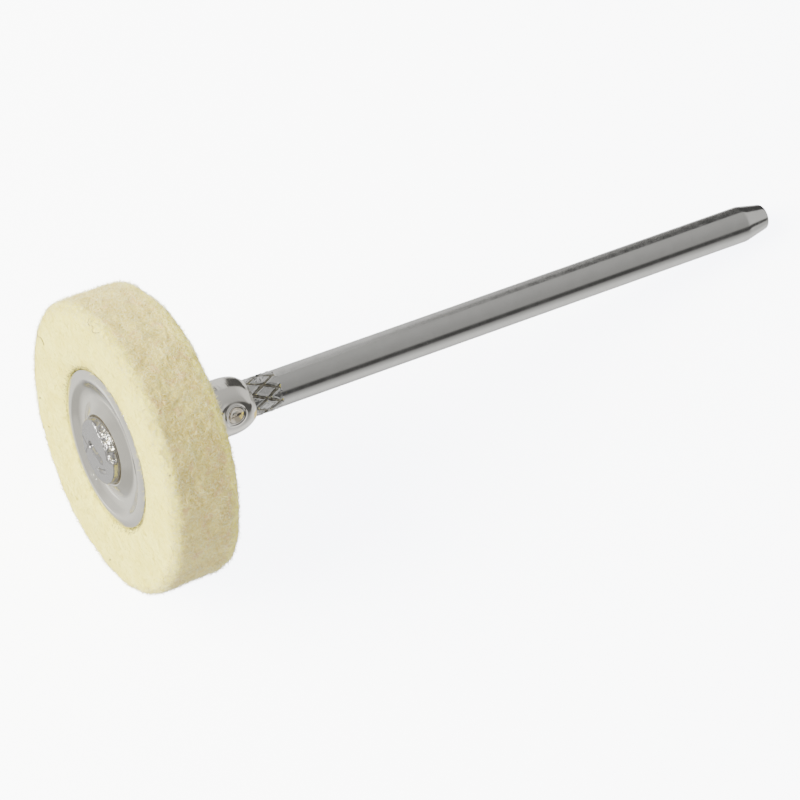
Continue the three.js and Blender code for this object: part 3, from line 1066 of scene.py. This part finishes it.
def make_light(name, direction, size, power, colour=(1, 1, 1)):
    """A square light that looks at the middle of the front washer."""
    data = bpy.data.lights.new(name, "AREA")
    data.shape = "SQUARE"
    data.size = size
    data.energy = power
    data.color = colour
    light = bpy.data.objects.new(name, data)
    bpy.context.scene.collection.objects.link(light)
    centre = Vector((0, RIM_Y * MM, 0))
    towards = Vector(direction)
    turn = aimed(towards, Vector((0, 0, 1))).to_4x4()
    light.matrix_world = Matrix.Translation(centre + towards.normalized() * LIGHT_DISTANCE_M) @ turn
    return light


def make_world():
    """A pale studio seen by polished metal: grey ceiling, pale cards, a strip and two dark gaps."""
    world = bpy.data.worlds.new("studio")
    bpy.context.scene.world = world
    world.use_nodes = True
    tree = world.node_tree
    place = tree.nodes.new("ShaderNodeTexCoord")
    split = tree.nodes.new("ShaderNodeSeparateXYZ")
    tree.links.new(place.outputs["Generated"], split.inputs[0])
    x, y, z = split.outputs

    def calc(operation, *values):
        node = tree.nodes.new("ShaderNodeMath")
        node.operation = operation
        for socket, value in zip(node.inputs, values):
            if hasattr(value, "links"):
                tree.links.new(value, socket)
            else:
                socket.default_value = value
        return node.outputs[0]

    def rise(value, low, high, at_low=0.0, at_high=1.0):
        node = tree.nodes.new("ShaderNodeMapRange")
        node.interpolation_type = "SMOOTHSTEP"
        tree.links.new(value, node.inputs["Value"])
        node.inputs["From Min"].default_value = low
        node.inputs["From Max"].default_value = high
        node.inputs["To Min"].default_value = at_low
        node.inputs["To Max"].default_value = at_high
        return node.outputs["Result"]

    def blend(level, target, mask):
        change = calc("MULTIPLY", calc("SUBTRACT", target, level), mask)
        return calc("ADD", level, change)

    # degrees round the spin axis, from 0 at +X over the top to 180 at -X
    turn = calc("MULTIPLY", calc("ARCTAN2", z, x), 180 / math.pi)
    past = calc("MAXIMUM", rise(turn, 126, 134), rise(turn, -100, -120))
    ceiling = rise(turn, 40, 115, 0.52, 0.68)
    level = blend(ceiling, CARD_LEVEL, past)
    floor = rise(z, -0.35, -0.65, 1.1, FLOOR_LEVEL)
    below = rise(z, -0.02, -0.5)
    level = blend(level, floor, below)
    level = blend(level, UNDER_LEVEL, rise(z, -0.8, -0.97))
    front = calc("MULTIPLY", rise(y, -0.7, -0.9), rise(z, -0.75, -0.5))
    level = blend(level, FRONT_LEVEL, front)
    back = calc("MULTIPLY", rise(y, 0.55, 0.75), rise(z, -0.4, -0.1))
    level = blend(level, BACK_LEVEL, back)
    aside = calc("MULTIPLY", rise(x, -0.35, -0.05), rise(y, -0.9, -0.8))
    aside_low = calc("MULTIPLY", rise(z, -0.4, -0.6), rise(y, 0.1, 0.0))
    level = blend(level, ASIDE_LEVEL, calc("MULTIPLY", aside, aside_low))
    shade = calc("MULTIPLY", rise(y, -0.2, -0.05), rise(y, 0.36, 0.28))
    level = blend(level, SHADE_LEVEL, calc("MULTIPLY", shade, rise(z, -0.6, -0.75)))
    across = calc("ADD", calc("MULTIPLY", x, STRIP_ACROSS[0]), calc("MULTIPLY", y, STRIP_ACROSS[1]))
    across = calc("ABSOLUTE", calc("ADD", across, calc("MULTIPLY", z, STRIP_ACROSS[2])))
    strip = calc("MULTIPLY", rise(across, 0.05, 0.03), rise(y, -0.46, -0.5))
    level = blend(level, STRIP_LEVEL, calc("MULTIPLY", strip, rise(y, -0.575, -0.55)))
    low_gap = calc("MULTIPLY", rise(turn, -6, 5), rise(turn, 34, 20))
    low_gap = calc("MULTIPLY", low_gap, rise(y, 0.97, 0.9))
    bearing = calc("DIVIDE", y, calc("MAXIMUM", calc("MULTIPLY", x, -1.0), 0.01))
    high_gap = calc("MULTIPLY", rise(bearing, 0.49, 0.55), rise(y, 0.405, 0.445))
    wrapped = calc("MAXIMUM", rise(turn, 127, 134), rise(turn, -150, -175))
    high_gap = calc("MULTIPLY", calc("MULTIPLY", high_gap, wrapped), rise(y, 0.97, 0.88))
    level = blend(level, GAP_LEVEL, calc("MAXIMUM", low_gap, high_gap))
    background = tree.nodes["Background"]
    background.inputs["Color"].default_value = (1.0, 1.0, 1.0, 1.0)
    tree.links.new(level, background.inputs["Strength"])


def make_lights():
    """Three warm softboxes that metal doesn't mirror, and a small lamp for its glints."""
    softboxes = [
        make_light("key_softbox", KEY_DIRECTION, SOFTBOX_SIZE_M, KEY_POWER, KEY_COLOUR),
        make_light("fill_card", FILL_DIRECTION, SOFTBOX_SIZE_M, FILL_POWER, FILL_COLOUR),
        make_light("back_softbox", BACK_DIRECTION, SOFTBOX_SIZE_M, BACK_POWER, BACK_COLOUR),
    ]
    for softbox in softboxes:
        softbox.visible_glossy = False
    make_light("small_lamp", LAMP_DIRECTION, LAMP_SIZE_M, LAMP_POWER)


# ---------------------------------------------------------------- assembly


def build_object():
    nickel = nickel_material()
    felt = build_felt()
    felt_vertices = np.array([tuple(v.co) for v in felt.data.vertices]) / MM
    felt_faces = [tuple(p.vertices) for p in felt.data.polygons]
    build_fibres(felt_vertices, felt_faces)
    # one dark material for the stray hairs and for the fibres that paint the crevice's shade
    lint_and_shade_fibre = dark_fibre_material()
    build_edge_shade_fibres(felt_vertices, felt_faces, lint_and_shade_fibre)
    build_stray_hairs(felt_vertices, lint_and_shade_fibre)
    build_washer("front_washer_dished", "front_washer", nickel, False)
    build_washer("rear_washer_dished", "rear_washer", nickel, True)
    build_hub(hub_material())
    build_mandrel(steel_material())


make_camera()
build_object()
make_floor()
make_world()
make_lights()
